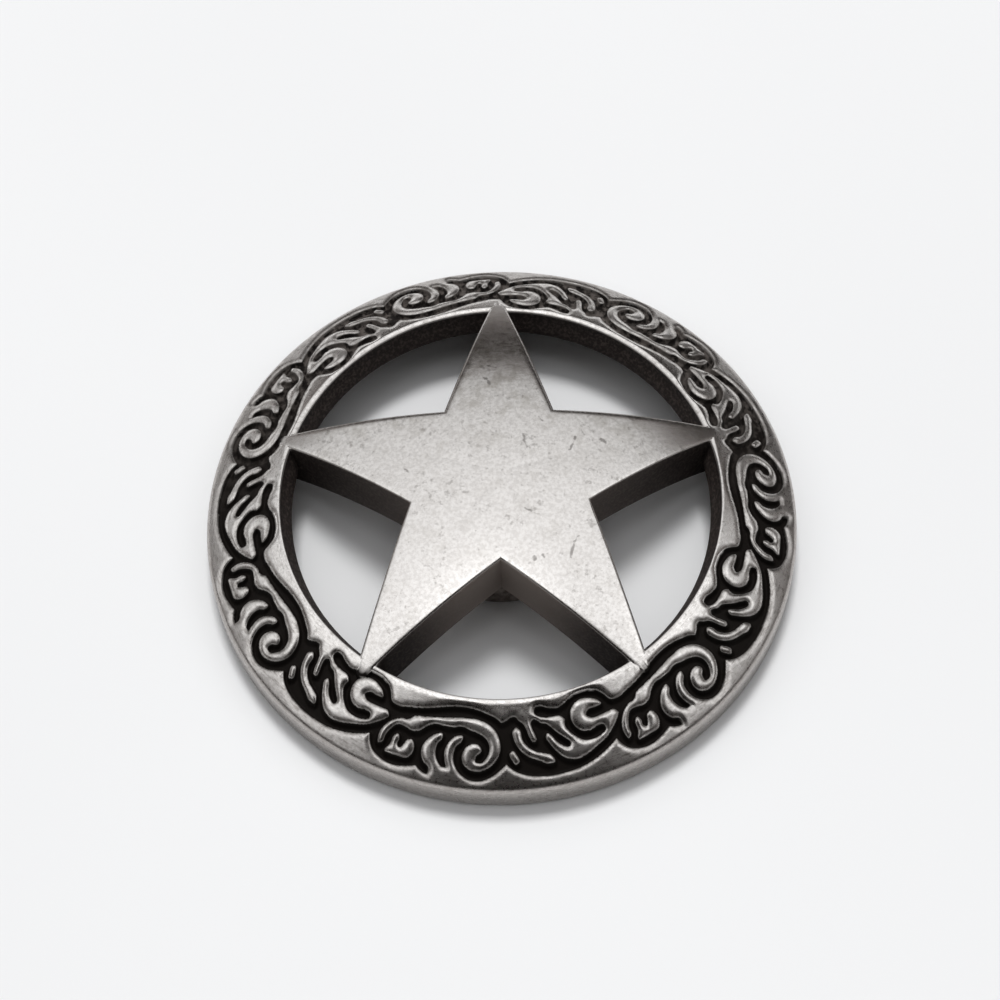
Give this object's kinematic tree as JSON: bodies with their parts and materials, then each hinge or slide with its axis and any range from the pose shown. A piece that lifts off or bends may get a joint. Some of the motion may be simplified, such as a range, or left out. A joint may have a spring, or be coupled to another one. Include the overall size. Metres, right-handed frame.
{
  "type": "concho",
  "caption": "Round domed concho with a raised scroll border, an open five-pointed star across its middle and a screw post behind.",
  "frame": {"origin": "on the disc's axis, in the plane that the back rim rests on", "axes": "+Z out of the face, +Y along one arm of the star"},
  "size_m": [0.038, 0.038, 0.0083],
  "materials": {
    "antiqued_casting": "satin antique silver, blackened in the recesses",
    "plain_post": "dull dark cast metal"
  },
  "bodies": {
    "root": {"concho_casting": "antiqued_casting", "screw_post": "plain_post"}
  },
  "joints": []
}
